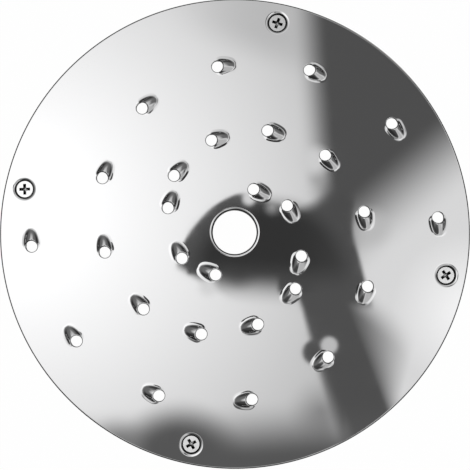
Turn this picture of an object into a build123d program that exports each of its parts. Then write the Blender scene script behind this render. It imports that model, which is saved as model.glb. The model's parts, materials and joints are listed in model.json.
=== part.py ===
from build123d import *
import os
from math import asin, cos, degrees, floor, pi, radians, sqrt, tan

# Grating disc of a vegetable cutter: one polished sheet with raised, pierced teeth
# in two spirals, a rolled centre bore and four countersunk rim screws with nuts.
# Millimetres and degrees. Origin on the bore axis, in the plane of the sheet's flat
# underside. +Z is the cutting side, and +X runs through one of the rim screws.

# Sheet
disc_diameter = 230.0
sheet = 1.2
rim_round = 0.5

# Centre bore, rolled over into a collar under the sheet
bore_diameter = 22.0
bore_shoulder = 1.6
collar_drop = 4.0
collar_wall = 1.0
collar_bend = 0.5

# Teeth: each is a hood raised behind a pierced hole, with its mouth turned
# counterclockwise. Every tooth cuts a track of its own, one track step further in
# and one turn step further round than the tooth before it.
arms = 2
hole_diameter = 5.7
outer_track_inset = 15.4
inner_track_room = 11.4
track_step = 5.9
first_turn = 7.0
turn_step = 30.0
line_offset = 14.8
set_back_tooth = 11
set_back_turn = 10.8

# Hood of one tooth: an egg that stands out of the sheet, set back from the middle of
# the hole and raked so that it falls away behind the cutting edge. Its width and
# height are those above the sheet; its tail and nose run from its widest place.
hood_width = 6.9
hood_height = 2.0
hood_setback = 1.6
hood_tail = 8.6
hood_nose = 3.0
hood_rake = 5.0
hood_wall = 1.0
hood_flare = 0.6
lip_relief = 0.35

# Rim screws, sunk in dimples of the sheet
screw_count = 4
screw_inset = 9.7
screw_diameter = 4.0
screw_clearance = 0.15
screw_end_proud = 2.0
head_diameter = 8.2
head_edge = 0.25
head_sink = 1.0
dimple_shoulder = 1.5
dimple_bend = 0.6
dimple_land = 0.6
recess_span = 4.6
recess_width = 1.1
recess_depth = 1.8
recess_taper = 6.0
recess_turns = (45.5, -7.5, 13.5, 41.5)

# Hexagon nuts under the dimples
nut_sides = 6
nut_across_flats = 7.0
nut_height = 3.2
nut_corner_angle = 30.0
thread_clearance = 0.05
end_chamfer = 0.5

# Radii and levels that follow from the sizes above
disc_radius = disc_diameter / 2
bore_radius = bore_diameter / 2
hole_radius = hole_diameter / 2
hood_radius = ((hood_width / 2) ** 2 + hood_height ** 2) / (2 * hood_height)
hood_middle = sheet + hood_height - hood_radius
screw_circle_radius = disc_radius - screw_inset
screw_radius = screw_diameter / 2
seat_hole_radius = screw_radius + screw_clearance
head_radius = head_diameter / 2
head_top = sheet - head_sink
dimple_mouth_radius = head_radius + head_sink + head_edge
seat_bottom = sheet - (dimple_mouth_radius - seat_hole_radius)
dimple_bottom = seat_bottom - dimple_land
nut_bottom = dimple_bottom - nut_height
screw_bottom = nut_bottom - screw_end_proud


def turned(*points):
    """Solid turned about the Z axis from the corners of its half section."""
    return revolve(Plane.XZ * make_face(Polyline(*points, close=True)), Axis.Z)


def circles(part, radius, level):
    """Round edges of one radius at one height."""
    same = 1e-4
    rings = part.edges().filter_by(GeomType.CIRCLE)
    return rings.filter_by(lambda ring: abs(ring.radius - radius) + abs(ring.center().Z - level) < same)


def tooth_places():
    """Middle of each tooth's hole on the underside, turned so that local +X points out of the mouth."""
    outer_track = disc_radius - outer_track_inset
    track_room = outer_track - bore_radius - inner_track_room
    teeth_per_arm = floor(track_room / track_step) + 1
    places = []
    for arm in range(arms):
        for tooth in range(teeth_per_arm):
            track = outer_track - tooth * track_step
            turn = first_turn + arm * 360 / arms + tooth * turn_step + degrees(asin(line_offset / track))
            if tooth == set_back_tooth:
                turn -= set_back_turn
            places.append(Rot(0, 0, turn) * Pos(track, 0, 0) * Rot(0, 0, 90))
    return places


def screw_places():
    """Axis of each screw at the underside, local +X pointing away from the disc's middle."""
    return [Rot(0, 0, 360 * i / screw_count) * Pos(screw_circle_radius, 0, 0) for i in range(screw_count)]


def round_sheet():
    """The flat disc with its rounded rim and the collar rolled down around the bore."""
    collar_radius = bore_radius + collar_wall
    disc = turned(
        (bore_radius, sheet),
        (disc_radius, sheet),
        (disc_radius, 0),
        (collar_radius, 0),
        (collar_radius, -collar_drop),
        (bore_radius, -collar_drop),
    )
    disc = fillet(circles(disc, disc_radius, sheet) + circles(disc, disc_radius, 0), rim_round)
    disc = fillet(circles(disc, bore_radius, sheet), bore_shoulder)
    return fillet(circles(disc, collar_radius, 0), collar_bend)


def add_dimples(plate):
    """Presses the conical screw seats into the sheet: a boss below, a countersink above."""
    boss_radius = dimple_mouth_radius + sheet * (sqrt(2) - 1)
    boss = turned(
        (0, sheet / 2),
        (boss_radius + sheet / 2, sheet / 2),
        (boss_radius + dimple_bottom, dimple_bottom),
        (0, dimple_bottom),
    )
    seat = turned(
        (0, sheet),
        (dimple_mouth_radius, sheet),
        (seat_hole_radius, seat_bottom),
        (seat_hole_radius, dimple_bottom),
        (0, dimple_bottom),
    )
    plate += [place * boss for place in screw_places()]
    plate -= [place * seat for place in screw_places()]
    plate = fillet(circles(plate, dimple_mouth_radius, sheet), dimple_shoulder)
    return fillet(circles(plate, boss_radius, 0), dimple_bend)


def raked_egg(wall=0.0):
    """Egg of a hood, or of the hollow one wall inside it: drawn out behind, blunt in front, nose up."""
    tail, nose, radius = hood_tail - wall, hood_nose - wall, hood_radius - wall
    outline = Curve() + [
        EllipticalCenterArc((0, 0), tail, radius, 90, arc_size=90),
        EllipticalCenterArc((0, 0), nose, radius, 0, arc_size=90),
        Line((-tail, 0), (nose, 0)),
    ]
    egg = revolve(make_face(outline), Axis.X)
    return Pos(-hood_setback, 0, hood_middle) * Rot(0, -hood_rake, 0) * egg


def add_hoods(plate):
    """Raises the hoods out of the sheet, with a small flare around each foot."""
    hood = split(raked_egg(), Plane.XY.offset(sheet / 2), Keep.TOP)
    hoods = [place * hood for place in tooth_places()]
    raised = plate + hoods
    return fillet(new_edges(plate, *hoods, combined=raised), hood_flare)


def tooth_cut():
    """What a tooth loses: the hollow under its hood, the pierced hole and the slanted front lip."""
    hole = Pos(0, 0, -sheet) * extrude(Circle(hole_radius), hood_height + 3 * sheet)
    lip = extrude(Circle(hole_radius), hood_height + 2 * sheet, dir=(lip_relief, 0, sheet))
    return raked_egg(hood_wall) + hole + lip


def grating_plate():
    plate = add_hoods(add_dimples(round_sheet()))
    cut = tooth_cut()
    return plate - [place * cut for place in tooth_places()]


def rim_screw(recess_turn):
    """Countersunk screw with a cross recess and a plain shank."""
    cone_bottom = head_top - head_edge - (head_radius - screw_radius)
    screw = turned(
        (0, head_top),
        (head_radius, head_top),
        (head_radius, head_top - head_edge),
        (screw_radius, cone_bottom),
        (screw_radius, screw_bottom),
        (0, screw_bottom),
    )
    screw = chamfer(circles(screw, screw_radius, screw_bottom), end_chamfer)
    cross = Rectangle(recess_span, recess_width) + Rectangle(recess_width, recess_span)
    recess = extrude(cross, -recess_depth, taper=recess_taper)
    return screw - Pos(0, 0, head_top) * Rot(0, 0, recess_turn) * recess


def rim_nut():
    """Hexagon nut with its corners turned off at both ends."""
    flat_radius = nut_across_flats / 2
    corner_radius = flat_radius / cos(pi / nut_sides)
    corner_drop = (corner_radius - flat_radius) * tan(radians(nut_corner_angle))
    hexagon = RegularPolygon(flat_radius, nut_sides, major_radius=False)
    blank = Pos(0, 0, nut_bottom) * extrude(hexagon, nut_height)
    turned_off = turned(
        (0, dimple_bottom),
        (flat_radius, dimple_bottom),
        (corner_radius, dimple_bottom - corner_drop),
        (corner_radius, nut_bottom + corner_drop),
        (flat_radius, nut_bottom),
        (0, nut_bottom),
    )
    bore_radius_of_nut = screw_radius + thread_clearance
    nut = blank & turned_off
    nut -= Pos(0, 0, nut_bottom) * extrude(Circle(bore_radius_of_nut), nut_height)
    ends = circles(nut, bore_radius_of_nut, dimple_bottom) + circles(nut, bore_radius_of_nut, nut_bottom)
    return chamfer(ends, end_chamfer)


turns = [recess_turns[i % len(recess_turns)] for i in range(screw_count)]
screws = [place * rim_screw(turn) for place, turn in zip(screw_places(), turns)]
nuts = [place * rim_nut() for place in screw_places()]

os.makedirs("parts", exist_ok=True)
export_step(grating_plate(), "parts/grating_plate.step")
export_step(Compound(children=screws), "parts/rim_screws.step")
export_step(Compound(children=nuts), "parts/rim_nuts.step")
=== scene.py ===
import json
import math

import bmesh
import bpy
import numpy as np
from mathutils import Matrix, Vector


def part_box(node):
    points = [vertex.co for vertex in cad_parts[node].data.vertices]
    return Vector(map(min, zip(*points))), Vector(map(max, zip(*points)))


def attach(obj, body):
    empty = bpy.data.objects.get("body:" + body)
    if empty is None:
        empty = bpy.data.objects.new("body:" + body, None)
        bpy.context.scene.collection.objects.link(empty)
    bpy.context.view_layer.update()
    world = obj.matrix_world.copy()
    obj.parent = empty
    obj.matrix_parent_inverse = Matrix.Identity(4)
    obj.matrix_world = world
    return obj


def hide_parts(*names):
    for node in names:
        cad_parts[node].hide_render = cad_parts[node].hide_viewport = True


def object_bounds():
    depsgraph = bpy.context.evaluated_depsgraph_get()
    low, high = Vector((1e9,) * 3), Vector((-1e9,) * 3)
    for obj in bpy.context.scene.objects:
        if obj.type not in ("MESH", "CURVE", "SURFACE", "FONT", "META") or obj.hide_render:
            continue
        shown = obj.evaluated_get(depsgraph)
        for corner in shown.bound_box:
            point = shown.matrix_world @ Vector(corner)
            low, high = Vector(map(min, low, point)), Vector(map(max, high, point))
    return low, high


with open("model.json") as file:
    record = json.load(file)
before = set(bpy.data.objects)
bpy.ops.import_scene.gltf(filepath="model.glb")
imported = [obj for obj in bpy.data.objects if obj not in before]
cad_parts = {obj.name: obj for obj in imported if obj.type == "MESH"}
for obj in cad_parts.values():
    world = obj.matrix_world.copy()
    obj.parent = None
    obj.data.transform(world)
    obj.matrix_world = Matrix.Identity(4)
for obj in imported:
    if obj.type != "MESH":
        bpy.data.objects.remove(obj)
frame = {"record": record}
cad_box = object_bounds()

# The grating plate is one round of stainless sheet, polished to a mirror on both faces. The collar of
# its bore, the dimples for the screws and the hoods of the teeth are pressed out of the sheet, and the
# holes are pierced. Its rim and its other sheared edges are left dull. They and the cones round the
# screw heads are also painted near black as painted shade.
mm = 0.001
sheet = 1.2
rim_round = sheet / 2
rim_steps = 12
rim_segments = 288
bore_rolls = (1.0, 95), (4.5, 106), (0.7, 180)
bore_worn = 0.2
bore_segments = 128
roll_steps = 8
collar_wall = 1.0
collar_bend = 0.5
bend_steps = 6
flat_margin = 0.3

plate_low, plate_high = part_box("grating_plate")
disc_radius = min(*plate_high.xy, *-plate_low.xy) / mm
collar_bottom = plate_low.z / mm
bore_mount = next(m for m in frame["record"]["mounts"] if m["name"] == "centre_bore")
bore_radius = bore_mount["dims"]["r_mm"] - bore_worn


def arc(r, z, radius, start, end, steps):
    """Points of a round stretch of a half section about (r, z), from one angle in degrees to another."""
    angles = np.radians(np.linspace(start, end, steps + 1))
    return [(r + radius * math.cos(a), z + radius * math.sin(a)) for a in angles]


def turned(section, segments, x=0.0, y=0.0):
    """Rings of points that turn a half section about an upright axis through (x, y)."""
    angles = np.linspace(0, 2 * math.pi, segments, endpoint=False)
    return [[(x + r * math.cos(a), y + r * math.sin(a), z) for a in angles] for r, z in section]


def skin(shape, rings, closed=False, shaded_rows=()):
    """Lays quads from each closed ring of points to the next, and returns the corners of the first and last
    rings. The rows of quads numbered as shaded take the second material, a steel painted dark as shade."""
    rows = [[shape.verts.new([c * mm for c in point]) for point in ring] for ring in rings]
    pairs = list(zip(rows, rows[1:]))
    if closed:
        pairs.append((rows[-1], rows[0]))
    for number, (near, far) in enumerate(pairs):
        for i in range(len(near)):
            face = shape.faces.new((near[i - 1], near[i], far[i], far[i - 1]))
            face.material_index = int(number in shaded_rows)
    return rows[0], rows[-1]


def finished_piece(name, shape, crease=35.0):
    """Turns a closed shape into an object with smooth faces and creases at its sharp edges."""
    bmesh.ops.recalc_face_normals(shape, faces=shape.faces)
    mesh = bpy.data.meshes.new(name)
    shape.to_mesh(mesh)
    shape.free()
    mesh.shade_smooth()
    mesh.set_sharp_from_angle(angle=math.radians(crease))
    piece = bpy.data.objects.new(name, mesh)
    bpy.context.scene.collection.objects.link(piece)
    return piece


rim_middle = disc_radius - rim_round
rim_section = [
    (rim_middle - flat_margin, sheet),
    *arc(rim_middle, rim_round, rim_round, 90, -90, rim_steps),
    (rim_middle - flat_margin, 0),
]
# The rows of this strip that take the dull steel painted dark as shade; the bore, dimples and holes have
# theirs below.
rim_shaded_rows = range(1, rim_steps)

rolled_edge = []
r, z, roll, heading = 0.0, sheet, 0.0, 90
for radius, end in bore_rolls:
    turn = math.radians(heading)
    r += (roll - radius) * math.cos(turn)
    z += (roll - radius) * math.sin(turn)
    rolled_edge += arc(r, z, radius, heading, end, roll_steps)[bool(rolled_edge):]
    roll, heading = radius, end
roll_width = -rolled_edge[-1][0]
rolled_edge = [(bore_radius + roll_width + r, z) for r, z in rolled_edge]
collar_radius = bore_radius + collar_wall
bend_middle = collar_radius + collar_bend
bore_section = [
    (bore_radius + roll_width + flat_margin, sheet),
    *rolled_edge,
    (bore_radius, rolled_edge[-1][1] - flat_margin),
    (bore_radius, collar_bottom),
    (collar_radius, collar_bottom),
    (collar_radius, -collar_bend - flat_margin),
    *arc(bend_middle, -collar_bend, collar_bend, 180, 90, bend_steps),
    (bend_middle + flat_margin, 0),
]
# The steep inner part of the rolled edge and the bore's wall, painted dark as shade.
bore_shaded_rows = range(2 * roll_steps, 3 * roll_steps + 3)

screw_circle = 105.3
screw_count = 4
dimple_mouth = 5.35
dimple_shoulder = 3.8
shoulder_slope = 16.5
dimple_fold = 0.35
dimple_slope = 62
dimple_step = 1.0
dimple_bottom = -2.6
dimple_bend = 0.6
dimple_steps = 6
boss_steps = 5
dimple_segments = 72
seat_slope = 45
seat_hole_radius = 2.15
boss_radius = dimple_mouth + sheet * (math.sqrt(2) - 1)
bend_share = math.tan(math.radians(seat_slope / 2))
step_foot = dimple_mouth - dimple_step
shoulder_lean, wall_lean = math.radians(shoulder_slope), math.radians(dimple_slope)
fold_drop = dimple_fold * (math.cos(shoulder_lean) - math.cos(wall_lean))
shoulder_drop = dimple_shoulder * (1 - math.cos(shoulder_lean))
wall_width = (dimple_step - fold_drop - shoulder_drop) / math.tan(wall_lean)
fold_middle = step_foot + wall_width + dimple_fold * math.sin(wall_lean)
mouth_middle = fold_middle + (dimple_shoulder - dimple_fold) * math.sin(shoulder_lean)
fold_height = sheet - dimple_shoulder + (dimple_shoulder - dimple_fold) * math.cos(shoulder_lean)
boss_middle = boss_radius + dimple_bend * bend_share
dimple_section = [
    (mouth_middle + flat_margin, sheet),
    *arc(mouth_middle, sheet - dimple_shoulder, dimple_shoulder, 90, 90 + shoulder_slope, dimple_steps),
    *arc(fold_middle, fold_height, dimple_fold, 90 + shoulder_slope, 90 + dimple_slope, dimple_steps)[1:],
    (step_foot, sheet - dimple_step),
    (seat_hole_radius, sheet - (dimple_mouth - seat_hole_radius)),
    (seat_hole_radius, dimple_bottom),
    (boss_radius + dimple_bottom, dimple_bottom),
    *arc(boss_middle, -dimple_bend, dimple_bend, 90 + seat_slope, 90, boss_steps),
    (boss_middle + flat_margin, 0),
]
# The cone under each screw head, the wall of its seat hole and the ring below, painted dark as the shade in
# the gap round the head.
dimple_shaded_rows = range(2 * dimple_steps + 1, 2 * dimple_steps + 4)
screw_turns = [2 * math.pi * i / screw_count for i in range(screw_count)]
screw_axes = [(screw_circle * math.cos(a), screw_circle * math.sin(a)) for a in screw_turns]

hole_radius = 2.74
hole_forward = 0.15
hole_lip = 0.38, 0.62
hood_width = 6.9
hood_height = 2.0
hood_setback = 1.6
hood_tail = 8.6
hood_nose = 3.0
hood_rake = math.radians(5.0)
hood_wall = 1.0
hood_flare = 0.32
skirt_width = 0.5, 1.3
skirt_rise = 0.065
skirt_bend = 1.3
hood_radius = ((hood_width / 2) ** 2 + hood_height**2) / (2 * hood_height)
hood_middle = sheet + hood_height - hood_radius
patch_step = 0.02
patch_flats = 0.15, 0.6
rays = 68
ray_samples = 2000
ray_crowding = 1.5
crowded_at, crowded_over = math.radians(72), math.radians(16)
upper_rings = 30
lip_rings = 4
lower_rings = 7
ring_samples = 400
bend_weight = 0.6
least_travel = 0.002
halvings = 32
level_error = 1e-5


def outside_hood(x, y, z, wall):
    """About how far a point lies outside the egg of a hood, or of the hollow one wall inside it."""
    behind, above = x + hole_forward + hood_setback, z - hood_middle
    along = behind * math.cos(hood_rake) + above * math.sin(hood_rake)
    up = above * math.cos(hood_rake) - behind * math.sin(hood_rake)
    length = np.where(along < 0, hood_tail, hood_nose) - wall
    radius = hood_radius - wall
    reach = np.sqrt((along / length) ** 2 + (y**2 + up**2) / radius**2)
    slope = np.sqrt((along / length**2) ** 2 + (y**2 + up**2) / radius**4)
    return reach * (reach - 1) / np.maximum(slope, 1e-9)


def upper_face(x, y):
    """Height of the sheet's upper face near a tooth: flat, drawn up in a skirt, rounded, or the hood."""
    width = np.interp(np.abs(y), (0, hood_width / 2), skirt_width)
    apart = np.clip(outside_hood(x, y, sheet, 0.0) / width, 0, 1)
    skirt = sheet + skirt_rise * width * (1 - apart) ** skirt_bend
    low = np.full(np.shape(x), sheet)
    high = low + hood_radius
    for _ in range(halvings):
        z = (low + high) / 2
        hood = outside_hood(x, y, z, 0.0)
        flat = z - skirt
        round_in = np.hypot(np.maximum(hood_flare - hood, 0), np.maximum(hood_flare - flat, 0))
        clear = np.maximum(np.minimum(hood, flat), hood_flare) > round_in
        low, high = np.where(clear, low, z), np.where(clear, z, high)
    return np.where(high < sheet + level_error, sheet, high)


def lower_face(x, y):
    """Height of the sheet's lower face near a tooth: flat, or the roof of the hollow under the hood."""
    low = np.zeros(np.shape(x))
    high = low + hood_radius
    for _ in range(halvings):
        z = (low + high) / 2
        hollow = outside_hood(x, y, z, hood_wall) < 0
        low, high = np.where(hollow, z, low), np.where(hollow, high, z)
    return np.where(low < level_error, 0.0, low)


def rings_between(inner, outer, face, count):
    """Rings on a face from an inner line to an outer one, closer together where the face bends."""
    share = np.linspace(0, 1, ring_samples)
    x, y = (inner[:, i, None] + share * (outer - inner)[:, i, None] for i in (0, 1))
    z = face(x, y)
    run = np.hypot(np.diff(x), np.diff(y))
    rise = np.diff(z)
    bend = np.abs(np.diff(np.arctan2(rise, run), prepend=0))
    bend[:, 0] = 0
    travel = np.cumsum(np.hypot(run, rise) + bend_weight * bend + least_travel, axis=1)
    travel = np.concatenate([np.zeros((len(inner), 1)), travel], axis=1)
    travel /= travel[:, -1:]
    stops = np.linspace(0, 1, count)
    chosen = np.array([np.interp(stops, line, share) for line in travel])
    x, y = (inner[:, i, None] + chosen * (outer - inner)[:, i, None] for i in (0, 1))
    return np.stack([x, y, face(x, y)], axis=-1).transpose(1, 0, 2)


def tooth_rings():
    """One tooth about the middle of its hole, mouth towards +X: rings over the hood, down the hole and
    back out under the sheet. The rays of the rings crowd where the ends of the mouth are."""
    even = np.linspace(-math.pi, math.pi, ray_samples)
    ends = np.exp(-(((np.abs(even) - crowded_at) / crowded_over) ** 2))
    crowd = np.cumsum(1 + ray_crowding * ends)
    turn = np.interp(np.linspace(crowd[0], crowd[-1], rays, endpoint=False), crowd, even)
    out = np.stack([np.cos(turn), np.sin(turn)], axis=-1)

    lip = hole_lip[0] + (hole_lip[1] - hole_lip[0]) * (1 - np.cos(turn)) / 2
    edge = hole_radius + lip
    reach = edge[:, None] + np.arange(0, hood_setback + hood_tail + max(skirt_width), patch_step)
    raised = upper_face(out[:, 0, None] * reach, out[:, 1, None] * reach) > sheet
    foot = edge + patch_step * (raised * np.arange(1, reach.shape[1] + 1)).max(axis=1)
    first_flat, last_flat = (out * (foot + flat)[:, None] for flat in patch_flats)

    upper = rings_between(out * edge[:, None], first_flat, upper_face, upper_rings)
    turns = np.linspace(0, math.pi / 2, lip_rings + 1)[1:, None]
    lip_reach = edge - lip * np.sin(turns)
    lip_height = upper[0, :, 2] - lip * (1 - np.cos(turns))
    bent = np.stack([lip_reach * out[:, 0], lip_reach * out[:, 1], lip_height], axis=-1)
    lower = rings_between(out * hole_radius, last_flat, lower_face, lower_rings)
    outer = np.concatenate([last_flat, np.full((rays, 1), sheet)], axis=1)
    return np.concatenate([outer[None], upper[::-1], bent, lower]) + [hole_forward, 0, 0]


plate_shape = bmesh.new()
strips = [(turned(rim_section, rim_segments), rim_shaded_rows), (turned(bore_section, bore_segments), bore_shaded_rows)]
strips += [(turned(dimple_section, dimple_segments, x, y), dimple_shaded_rows) for x, y in screw_axes]
tooth = tooth_rings()
# The steep part of each hole's lip and its wall, painted dark as shade.
mouth_shaded_rows = range(upper_rings + 2, upper_rings + lip_rings + 1)
for opening in frame["record"]["physics"]["openings"]:
    low, high = opening["box_m"]
    x, y = ((low[i] + high[i]) / 2 / mm for i in (0, 1))
    mouth_turn = Matrix.Rotation(math.atan2(y, x) + math.pi / 2, 3, "Z")
    strips.append((tooth @ np.array(mouth_turn).T + np.array([x, y, 0]), mouth_shaded_rows))
edges_above, edges_below = [], []
for strip, strip_shaded_rows in strips:
    above, below = skin(plate_shape, strip, shaded_rows=strip_shaded_rows)
    edges_above += [plate_shape.edges.get((above[i - 1], above[i])) for i in range(len(above))]
    edges_below += [plate_shape.edges.get((below[i - 1], below[i])) for i in range(len(below))]
bmesh.ops.triangle_fill(plate_shape, use_beauty=True, edges=edges_above, normal=(0, 0, 1))
bmesh.ops.triangle_fill(plate_shape, use_beauty=True, edges=edges_below, normal=(0, 0, -1))
plate = finished_piece("mirror_plate", plate_shape)


def add_node(tree, kind, inputs=None, **options):
    """Adds a shader node, sets its options, and sets or links its inputs."""
    node = tree.nodes.new(kind)
    for name, value in options.items():
        setattr(node, name, value)
    for name, value in (inputs or {}).items():
        if isinstance(value, bpy.types.NodeSocket):
            tree.links.new(value, node.inputs[name])
        else:
            node.inputs[name].default_value = value
    return node


haze_coarseness = 8
haze_low, haze_high = 0.3, 0.7
sway_scale = 22.0


def steel(name, colour, polish, marks, mark_stretch, mark_depth, sway_depth):
    """Bare steel: polish is the least and greatest roughness, marks the fineness of the tool marks per
    metre, and the depths, in metres, are those of the marks and of the slow sway of the surface."""
    material = bpy.data.materials.new(name)
    material.use_nodes = True
    tree = material.node_tree
    shader = tree.nodes["Principled BSDF"]
    shader.inputs["Base Color"].default_value = (*colour, 1)
    shader.inputs["Metallic"].default_value = 1
    place = add_node(tree, "ShaderNodeTexCoord").outputs["Object"]
    coarse = {"Vector": place, "Scale": marks / haze_coarseness, "Detail": 4}
    haze = add_node(tree, "ShaderNodeTexNoise", coarse).outputs["Fac"]
    spread = {"Value": haze, "From Min": haze_low, "From Max": haze_high}
    spread |= {"To Min": polish[0], "To Max": polish[1]}
    rough = add_node(tree, "ShaderNodeMapRange", spread)
    tree.links.new(rough.outputs["Result"], shader.inputs["Roughness"])
    along = add_node(tree, "ShaderNodeMapping", {"Vector": place, "Scale": mark_stretch}).outputs["Vector"]
    lines = add_node(tree, "ShaderNodeTexNoise", {"Vector": along, "Scale": marks, "Detail": 3})
    sway = add_node(tree, "ShaderNodeTexNoise", {"Vector": place, "Scale": sway_scale, "Detail": 1})
    low = add_node(tree, "ShaderNodeBump", {"Height": sway.outputs["Fac"], "Distance": sway_depth})
    fine = {"Height": lines.outputs["Fac"], "Distance": mark_depth, "Normal": low.outputs["Normal"]}
    bump = add_node(tree, "ShaderNodeBump", fine)
    tree.links.new(bump.outputs["Normal"], shader.inputs["Normal"])
    return material


mirror_steel = steel(
    "polished_stainless",
    colour=(0.87, 0.87, 0.875),
    polish=(0.018, 0.032),
    marks=900.0,
    mark_stretch=(1.0, 0.08, 1.0),
    mark_depth=1e-7,
    sway_depth=1.5e-6,
)
# Rough like an unpolished sheared edge, and painted near black as the shade in the edges and gaps that take
# it.
dull_shaded_steel = steel(
    "dull_steel_painted_shade",
    colour=(0.045, 0.045, 0.045),
    polish=(0.4, 0.5),
    marks=900.0,
    mark_stretch=(1.0, 1.0, 0.1),
    mark_depth=1e-6,
    sway_depth=0.0,
)
plate.data.materials.append(mirror_steel)
plate.data.materials.append(dull_shaded_steel)
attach(plate, "root")
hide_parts("grating_plate")

# The rim screws are four countersunk machine screws of bright steel with a cross recess and a rolled
# thread. Each sits in a dimple near the rim, below the sheet's face, with its thread through a nut.
screw_low, screw_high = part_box("rim_screws")
head_top = screw_high.z / mm
screw_end = screw_low.z / mm
head_radius = 4.1
head_edge = 0.25
head_round = 0.1
thread_radius = 2.0
thread_pitch = 0.7
thread_depth = 0.35
thread_steps = 10
thread_flank = 2.6
crest_flat = 0.15
thread_run_in = 0.2
end_chamfer = 0.5
end_share = 0.5
recess_reach = 2.65
recess_half_width = 0.72
recess_depth = 1.8
recess_floor_share = 0.55
recess_point_share = 0.12
recess_point_drop = 0.15
recess_tip_steps = 4
recess_side_steps = 6
recess_turns = (45.5, -7.5, 13.5, 41.5)


def screw_directions():
    """Directions round a screw, with one at every corner of the cross."""
    tip = math.atan2(recess_half_width, recess_reach)
    quarter = [
        *np.linspace(-tip, tip, recess_tip_steps, endpoint=False),
        *np.linspace(tip, math.pi / 4, recess_side_steps, endpoint=False),
        *np.linspace(math.pi / 4, math.pi / 2 - tip, recess_side_steps, endpoint=False),
    ]
    return np.array([a + i * math.pi / 2 for i in range(4) for a in quarter])


def cross_reach(turn):
    """Distance from the axis to the edge of the cross in each direction."""
    side, along = np.abs(np.sin(turn)) + 1e-9, np.abs(np.cos(turn)) + 1e-9
    one = np.minimum(recess_reach / along, recess_half_width / side)
    other = np.minimum(recess_reach / side, recess_half_width / along)
    return np.maximum(one, other)


def screw_mesh():
    """A screw about its axis, from the recess's floor over the head and down the thread to its end."""
    turn = screw_directions()
    shape = bmesh.new()

    def level(radius, z):
        """Ring at one height, with one radius or one for each direction."""
        wide = np.broadcast_to(radius, turn.shape)
        high = np.broadcast_to(z, turn.shape)
        return np.stack([wide * np.cos(turn), wide * np.sin(turn), high], axis=-1)

    cross = cross_reach(turn)
    recess_floor = head_top - recess_depth
    rings = [
        level(cross * recess_point_share, recess_floor - recess_point_drop),
        level(cross * recess_floor_share, recess_floor),
        level(cross, head_top),
        level(head_radius - head_round, head_top),
        level(head_radius, head_top - head_round),
        level(head_radius, head_top - head_edge),
    ]
    cone_bottom = head_top - head_edge - (head_radius - thread_radius)
    thread_end = screw_end + end_chamfer
    core = thread_radius - thread_depth
    levels = round((cone_bottom - screw_end) / thread_pitch * thread_steps)
    for z in np.linspace(cone_bottom, screw_end, levels):
        phase = (z / thread_pitch + turn / (2 * math.pi)) % 1
        groove = np.clip(np.abs(phase - 0.5) * thread_flank - crest_flat, 0, 1)
        shank = np.minimum(thread_radius - thread_depth * groove, thread_radius - max(0, thread_end - z))
        grown = np.clip((cone_bottom - z) / thread_pitch - thread_run_in, 0, 1)
        rings.append(level(thread_radius + grown * (shank - thread_radius), z))
    rings.append(level(core * end_share, screw_end))
    top, bottom = skin(shape, rings)
    shape.faces.new(top)
    shape.faces.new(bottom)
    return shape


screw_shade = 0.95
screw_steel = steel(
    "turned_screw_steel",
    colour=(screw_shade, screw_shade, screw_shade),
    polish=(0.14, 0.2),
    marks=2600.0,
    mark_stretch=(1.0, 0.35, 1.0),
    mark_depth=1e-6,
    sway_depth=0.0,
)


def ramp(tree, value, start, end, low=0.0):
    """Goes evenly from a low share at the start to one at the end, both in millimetres."""
    spread = {"Value": value, "From Min": start * mm, "From Max": end * mm, "To Min": low}
    return add_node(tree, "ShaderNodeMapRange", spread).outputs["Result"]


# Painted shade darkens the recess from its edge to its floor, and is lighter in the middle, where the
# recess's floor faces up.
recess_painted_shade = 0.03
shade_starts = 0.05, 0.35
shade_ends = 2.2, 2.0
shade_reach = 3.0, 2.8
lit_middle_reach = 0.3, 1.1
lit_middle_share = 0.3
tree = screw_steel.node_tree
place = add_node(tree, "ShaderNodeTexCoord").outputs["Object"]
depth = add_node(tree, "ShaderNodeSeparateXYZ", {0: place}).outputs["Z"]
across = add_node(tree, "ShaderNodeVectorMath", {0: place, 1: (1, 1, 0)}, operation="MULTIPLY").outputs[0]
from_axis = add_node(tree, "ShaderNodeVectorMath", {0: across}, operation="LENGTH").outputs["Value"]
shaded = ramp(tree, depth, *(head_top - drop for drop in shade_starts))
for limit in (
    ramp(tree, depth, *(head_top - drop for drop in shade_ends)),
    ramp(tree, from_axis, *shade_reach),
    ramp(tree, from_axis, *lit_middle_reach, low=lit_middle_share),
):
    shaded = add_node(tree, "ShaderNodeMath", {0: shaded, 1: limit}, operation="MULTIPLY").outputs[0]
shades = {"Factor": shaded, "A": screw_shade, "B": recess_painted_shade}
shade = add_node(tree, "ShaderNodeMix", shades).outputs["Result"]
tree.links.new(shade, tree.nodes["Principled BSDF"].inputs["Base Color"])
screw_group = bpy.data.collections.new("rim_screws_lit")
screw_rows = zip(screw_turns, screw_axes, recess_turns)
for number, (turn, (x, y), recess_turn) in enumerate(screw_rows, start=1):
    screw = finished_piece(f"rim_screw_{number}", screw_mesh(), crease=30.0)
    screw.data.materials.append(screw_steel)
    spin = Matrix.Rotation(turn + math.radians(recess_turn), 4, "Z")
    screw.matrix_world = Matrix.Translation(Vector((x, y, 0)) * mm) @ spin
    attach(screw, "root")
    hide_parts("rim_screws")
    screw_group.objects.link(screw)

# The rim nuts are four hexagon nuts of bright steel, one on each screw, tightened against the dimple from
# below. Their corners are turned off at both ends, and their bores are chamfered where the thread begins.
nut_low, nut_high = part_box("rim_nuts")
nut_top = nut_high.z / mm
nut_bottom = nut_low.z / mm
nut_flat = 3.5
nut_bore = 2.05
nut_bore_chamfer = 0.5
nut_corner = nut_flat / math.cos(math.pi / 6)
nut_cone = math.tan(math.radians(30))
nut_cone_rings = 7
nut_segments = 96


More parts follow.
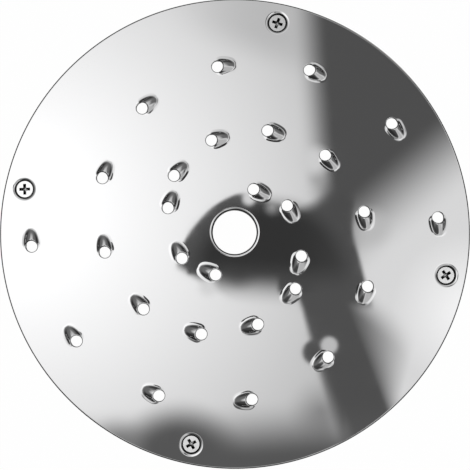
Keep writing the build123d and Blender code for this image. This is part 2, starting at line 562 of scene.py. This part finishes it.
def nut_mesh():
    """A nut about its axis, as rings from its bore over one end, down the flats and back to the bore."""
    turn = np.linspace(0, 2 * math.pi, nut_segments, endpoint=False)
    hexagon = nut_flat / np.cos((turn % (math.pi / 3)) - math.pi / 6)
    drop = (nut_corner - nut_flat) * nut_cone

    def level(radius, z):
        """Ring at one height, with one radius or one for each direction."""
        wide = np.broadcast_to(radius, turn.shape)
        return np.stack([wide * np.cos(turn), wide * np.sin(turn), np.full(turn.shape, z)], axis=-1)

    depths = np.linspace(0, drop, nut_cone_rings)
    upper = [level(np.minimum(hexagon, nut_flat + d / nut_cone), nut_top - d) for d in depths]
    lower = [level(np.minimum(hexagon, nut_flat + d / nut_cone), nut_bottom + d) for d in depths[::-1]]
    bore = [
        level(nut_bore + nut_bore_chamfer, nut_bottom),
        level(nut_bore, nut_bottom + nut_bore_chamfer),
        level(nut_bore, nut_top - nut_bore_chamfer),
        level(nut_bore + nut_bore_chamfer, nut_top),
    ]
    shape = bmesh.new()
    skin(shape, upper + lower + bore, closed=True)
    return shape


nut_steel = steel(
    "bright_nut_steel",
    colour=(0.72, 0.72, 0.73),
    polish=(0.2, 0.34),
    marks=2200.0,
    mark_stretch=(1.0, 1.0, 0.3),
    mark_depth=1e-6,
    sway_depth=0.0,
)
for number, (turn, (x, y)) in enumerate(zip(screw_turns, screw_axes), start=1):
    nut = finished_piece(f"rim_nut_{number}", nut_mesh(), crease=25.0)
    nut.data.materials.append(nut_steel)
    nut.matrix_world = Matrix.Translation(Vector((x, y, 0)) * mm) @ Matrix.Rotation(turn, 4, "Z")
    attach(nut, "root")
    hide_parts("rim_nuts")

# A small soft lamp stands over the screw at the picture's foot, whose head mirrors it to the camera. The
# mirror of the plate shows the room alone, so the lamp lights only the screws.
lamp_place = (0.005, -0.149, 0.25)
lamp_side = 0.12
lamp_power = 0.016
lamp_data = bpy.data.lights.new("screw_lamp", "AREA")
lamp_data.size = lamp_side
lamp_data.energy = lamp_power
lamp = bpy.data.objects.new("screw_lamp", lamp_data)
lamp.location = lamp_place
lamp.light_linking.receiver_collection = screw_group
bpy.context.scene.collection.objects.link(lamp)

# The camera looks down on the cutting side from above the middle, a little nearer the picture's foot.
# Its places are in millimetres in the picture's own directions, right and up, from the bore's axis.
picture_turn = math.radians(11.55)
camera_height = 487.0
camera_foot = (4.0, -19.5)
aim = (0.2, -1.48)
picture_half = 235.0
scale_length = 997.0
sensor_width = 36.0
nearest, farthest = 0.01, 50.0


def from_picture(right, up, z):
    """Point of the frame, in metres, at a place given in the picture's directions."""
    point = Vector((right, up, z)) * mm
    return Matrix.Rotation(picture_turn, 3, "Z") @ point


camera = bpy.data.objects.new("camera", bpy.data.cameras.new("camera"))
bpy.context.scene.collection.objects.link(camera)
bpy.context.scene.camera = camera
camera.location = from_picture(*camera_foot, sheet + camera_height)
back = (camera.location - from_picture(*aim, sheet)).normalized()
right = from_picture(1, 0, 0)
right = (right - back * right.dot(back)).normalized()
facing = Matrix((right, back.cross(right), back)).transposed().to_4x4()
camera.matrix_world = Matrix.Translation(camera.location) @ facing
camera.data.sensor_width = sensor_width
camera.data.lens = sensor_width * scale_length / (2 * picture_half)
camera.data.clip_start = nearest
camera.data.clip_end = farthest

# The floor is a wide white sweep of paper, on which the disc stands on its screw ends. The paper shows
# white in the picture and greyer in the metal near the disc. From below, it isn't in the way.
floor_half = 4.0
paper_shade = 0.9
white_share = 0.99
near_share = 0.4
near_margin, far_margin = 0.03, 0.2
floor_shape = bmesh.new()
bmesh.ops.create_grid(floor_shape, x_segments=1, y_segments=1, size=floor_half)
floor = finished_piece("paper_floor", floor_shape)
floor.location.z = cad_box[0].z
paper = bpy.data.materials.new("white_paper")
paper.use_nodes = True
tree = paper.node_tree
tree.nodes.remove(tree.nodes["Principled BSDF"])
matt = add_node(tree, "ShaderNodeBsdfDiffuse", {"Color": (paper_shade, paper_shade, paper_shade, 1)})
white = add_node(tree, "ShaderNodeEmission", {"Color": (1, 1, 1, 1), "Strength": 1.0})
path = add_node(tree, "ShaderNodeLightPath")
place = add_node(tree, "ShaderNodeTexCoord").outputs["Object"]
away = add_node(tree, "ShaderNodeVectorMath", {0: place}, operation="LENGTH").outputs["Value"]
rim_reach = disc_radius * mm
spread = {"Value": away, "From Min": rim_reach + near_margin, "From Max": rim_reach + far_margin}
spread["To Min"] = near_share
unshaded = add_node(tree, "ShaderNodeMapRange", spread).outputs["Result"]


def joined(first, second, operation):
    """Joins two values by a maths node in the node tree that is being built."""
    return add_node(tree, "ShaderNodeMath", {0: first, 1: second}, operation=operation).outputs[0]


mirrored = joined(path.outputs["Is Glossy Ray"], unshaded, "MULTIPLY")
seen = joined(path.outputs["Is Camera Ray"], mirrored, "MAXIMUM")
seen = joined(seen, path.outputs["Is Transmission Ray"], "MAXIMUM")
share = joined(seen, white_share, "MULTIPLY")
face = add_node(tree, "ShaderNodeMixShader", {0: share, 1: matt.outputs[0], 2: white.outputs[0]})
gone = add_node(tree, "ShaderNodeBsdfTransparent")
side = add_node(tree, "ShaderNodeNewGeometry").outputs["Backfacing"]
both = add_node(tree, "ShaderNodeMixShader", {0: side, 1: face.outputs[0], 2: gone.outputs[0]})
tree.links.new(both.outputs[0], tree.nodes["Material Output"].inputs["Surface"])
floor.data.materials.append(paper)

# The light is a soft white room. Above the disc hang cards, which the mirror of the plate shows as soft
# shapes. Each card is given by where it shows on the disc in the picture, in millimetres from the bore,
# and each soft edge by a point on it, the way it faces in degrees, and half the width of its blur.
least_rise = 0.05
room = bpy.data.worlds.new("soft_room")
bpy.context.scene.world = room
room.use_nodes = True
tree = room.node_tree
tree.nodes.clear()
view = add_node(tree, "ShaderNodeTexCoord").outputs["Generated"]
split = add_node(tree, "ShaderNodeSeparateXYZ", {0: view})
rise = joined(split.outputs["Z"], least_rise, "MAXIMUM")
lean_x = joined(split.outputs["X"], rise, "DIVIDE")
lean_y = joined(split.outputs["Y"], rise, "DIVIDE")
lean = add_node(tree, "ShaderNodeCombineXYZ", {0: lean_x, 1: lean_y}).outputs[0]
overhead = add_node(
    tree,
    "ShaderNodeMapping",
    {
        "Vector": lean,
        "Scale": (camera_height, camera_height, 0),
        "Rotation": (0, 0, -picture_turn),
        "Location": (*camera_foot, 0),
    },
).outputs[0]


def soft_side(point, facing, blur):
    """Goes from nothing to one across a straight edge through a point, in the direction that it faces."""
    turn = math.radians(facing)
    across = (math.cos(turn), math.sin(turn), 0)
    dot = add_node(tree, "ShaderNodeVectorMath", {0: overhead, 1: across}, operation="DOT_PRODUCT")
    start = point[0] * across[0] + point[1] * across[1]
    return step_up(dot.outputs["Value"], start - blur, start + blur)


def soft_round(middle, radius, blur):
    """Goes from nothing outside a round card to one inside it."""
    away = add_node(tree, "ShaderNodeVectorMath", {0: overhead, 1: (*middle, 0)}, operation="DISTANCE")
    return step_up(away.outputs["Value"], radius + blur, radius - blur)


def step_up(value, start, end):
    """Smooth step of a value from nothing at the start to one at the end."""
    spread = {"Value": value, "From Min": start, "From Max": end, "To Min": 0.0, "To Max": 1.0}
    return add_node(tree, "ShaderNodeMapRange", spread, interpolation_type="SMOOTHSTEP").outputs["Result"]


def soft_fan(pivot, start, end):
    """Goes evenly from nothing to one between two directions from a point, in degrees right of up."""
    apart = add_node(tree, "ShaderNodeVectorMath", {0: overhead, 1: (*pivot, 0)}, operation="SUBTRACT")
    sides = add_node(tree, "ShaderNodeSeparateXYZ", {0: apart.outputs[0]})
    turn = joined(sides.outputs["X"], sides.outputs["Y"], "ARCTAN2")
    spread = {"Value": turn, "From Min": math.radians(start), "From Max": math.radians(end)}
    return add_node(tree, "ShaderNodeMapRange", spread).outputs["Result"]


def fade(middle, start, end, near, far):
    """Brightness that goes evenly from one value to another between two distances from a point."""
    away = add_node(tree, "ShaderNodeVectorMath", {0: overhead, 1: (*middle, 0)}, operation="DISTANCE")
    spread = {"Value": away.outputs["Value"], "From Min": start, "From Max": end}
    spread |= {"To Min": near, "To Max": far}
    return add_node(tree, "ShaderNodeMapRange", spread).outputs["Result"]


def hang(below, shade, *edges):
    """Hangs a card of one shade in front of what is there, covering where all its edges hold."""
    cover = edges[0]
    for edge in edges[1:]:
        cover = joined(cover, edge, "MULTIPLY")
    spread = {"Factor": cover, "A": below, "B": shade}
    return add_node(tree, "ShaderNodeMix", spread).outputs["Result"]


# The open ceiling is brightest at the left, light again at the far right and greyer at the top.
ceiling = fade((-108, 11), 31, 203, 1.207, 0.451)
ceiling = hang(ceiling, fade((116, -40), 0, 40, 1.09, 0.777), soft_side((48, 0), 0, 6))
ceiling = hang(ceiling, 0.55, soft_side((0, 93.5), 72.5, 10.3), soft_side((-10, 0), 0, 30))

# The upper half of the dark band, and the light lobes that bite into it.
band_shade = 0.086
high_edges = (
    soft_side((39.3, 53.5), 3.8, 9.4),
    soft_side((32, 29.4), 6.3, 14),
    soft_side((85, 20.7), 130.8, 19.4),
)
ceiling = hang(ceiling, band_shade, *high_edges)
ceiling = hang(ceiling, 0.4, soft_round((41, 27), 3, 5))
ceiling = hang(ceiling, 0.7, soft_round((39, 35), 6.3, 4))
ceiling = hang(ceiling, 0.56, soft_round((67, 2), 7, 6))

# The lower half of the band, in three cards, because its right edge bends and then fans out.
ceiling = hang(ceiling, 0.28, soft_round((42, -87), 7, 12))
left_edges = soft_side((36.9, -52), 13.6, 2.2), soft_side((46, -79), 20.8, 5.5)
band_top = soft_side((40, 13), -64, 5)
bent_edges = soft_side((60.5, -11.3), 194.7, 1.5), soft_side((0, -36), 90, 3)
fanned_edges = soft_side((70.8, -40.8), 229, 8), soft_fan((77, -94.5), 15.5, -21)
ceiling = hang(ceiling, band_shade, *left_edges, band_top, soft_side((54, 0), 180, 2))
ceiling = hang(ceiling, band_shade, *left_edges, band_top, *bent_edges)
ceiling = hang(ceiling, band_shade, *left_edges, *fanned_edges)
edge_strip = soft_side((57.3, 0), 176, 1.5), soft_side((45, 0), 0, 6)
ceiling = hang(ceiling, 0.08, *edge_strip, soft_side((0, -4), 90, 3), soft_side((0, 18), -90, 5))

# The round dark spot beside the band and the light one in it.
ceiling = hang(ceiling, band_shade, soft_round((39.2, -58.5), 6.2, 1.2))
ceiling = hang(ceiling, 0.57, soft_round((46.0, -55.2), 4.1, 1.2))

# The dark hub round the bore: its lower corners, body and darker middle, and the light spots beside it.
corner_shade = 0.1
corner_edges = soft_side((-23.2, 0), 0, 1), soft_side((-12, 0), 180, 3)
corner_levels = soft_side((0, -20.7), 90, 1.2), soft_side((0, -8), -90, 3)
ceiling = hang(ceiling, corner_shade, *corner_edges, *corner_levels)
ceiling = hang(ceiling, corner_shade, soft_round((2, -18.5), 6.5, 6))
notch_edges = soft_side((21.2, 0), 0, 1.5), soft_side((38, 0), 180, 5)
notch_levels = soft_side((0, -29.5), 90, 2), soft_side((0, -8), -90, 4)
ceiling = hang(ceiling, 0.06, *notch_edges, *notch_levels)
side_edges = (
    soft_side((-18.9, 4.3), -40.9, 1.2),
    soft_side((-18.5, -22.7), 58, 2.6),
    soft_side((59, 0), 173.6, 32.5),
)
level_edges = soft_side((0, -27.4), 87.4, 9.5), soft_side((20.2, 13.65), -106.75, 2)
ceiling = hang(ceiling, 0.085, soft_round((16.6, -24.3), 45.65, 0.9), *side_edges, *level_edges)
ceiling = hang(ceiling, 0.036, soft_round((18, -24.3), 38, 7), *side_edges, soft_side((0, -20), 87.4, 9))
ceiling = hang(ceiling, 0.75, soft_round((-13, -27), 4, 3))
ceiling = hang(ceiling, 0.72, soft_round((7.0, 16.2), 3.0, 1.6))
ceiling = hang(ceiling, 0.51, soft_round((18.3, 12), 1.1, 4.55))

# The dark strip along the picture's foot.
foot_shade = 0.104
ceiling = hang(ceiling, foot_shade, soft_side((0, -96), -87, 14.8), soft_round((0, 0), 134, 12))
ceiling = hang(ceiling, foot_shade, soft_round((-26.8, -115.3), 26.7, 10))
ceiling = hang(ceiling, 0.2, soft_round((-57, -106), 10, 9))

upward = split.outputs["Z"]
bearing = add_node(tree, "ShaderNodeVectorMath", {0: lean}, operation="NORMALIZE").outputs[0]


def side_of_room(turn, start, end):
    """Goes from nothing to one between two angles from a side of the room, as turned in the picture."""
    middle = from_picture(math.cos(math.radians(turn)), math.sin(math.radians(turn)), 0).normalized()
    dot = add_node(tree, "ShaderNodeVectorMath", {0: bearing, 1: middle}, operation="DOT_PRODUCT")
    return step_up(dot.outputs["Value"], math.cos(math.radians(start)), math.cos(math.radians(end)))


# The walls, which the hoods of the teeth mirror, are dark low down and light near the ceiling. There is a
# window at the picture's top, a light side at its lower right and a dark one at its lower left.
walls = hang(0.02, 0.15, step_up(upward, 0.1, 0.7))
walls = hang(walls, 0.74, step_up(upward, 0.78, 0.98))
window = hang(0.05, 0.16, step_up(upward, 0.3, 0.6))
window = hang(window, 0.68, step_up(upward, 0.63, 0.97))
walls = hang(walls, window, side_of_room(86, 40, 14))
walls = hang(walls, 0.72, side_of_room(314, 50, 22), step_up(upward, 0.2, 0.6))
walls = hang(walls, 0.5, side_of_room(312, 32, 12))
dark_side = hang(0.025, 0.06, step_up(upward, 0.3, 0.75))
dark_side = hang(dark_side, 0.22, step_up(upward, 0.8, 0.98))
walls = hang(walls, dark_side, side_of_room(242, 44, 16))
around = hang(walls, ceiling, step_up(upward, 0.94, 0.962))
path = add_node(tree, "ShaderNodeLightPath")
shown = hang(around, 1.0, path.outputs["Is Camera Ray"])
light = add_node(tree, "ShaderNodeBackground", {"Color": shown, "Strength": 1.0})
output = add_node(tree, "ShaderNodeOutputWorld")
tree.links.new(light.outputs[0], output.inputs["Surface"])

bpy.context.scene.view_settings.view_transform = "Standard"
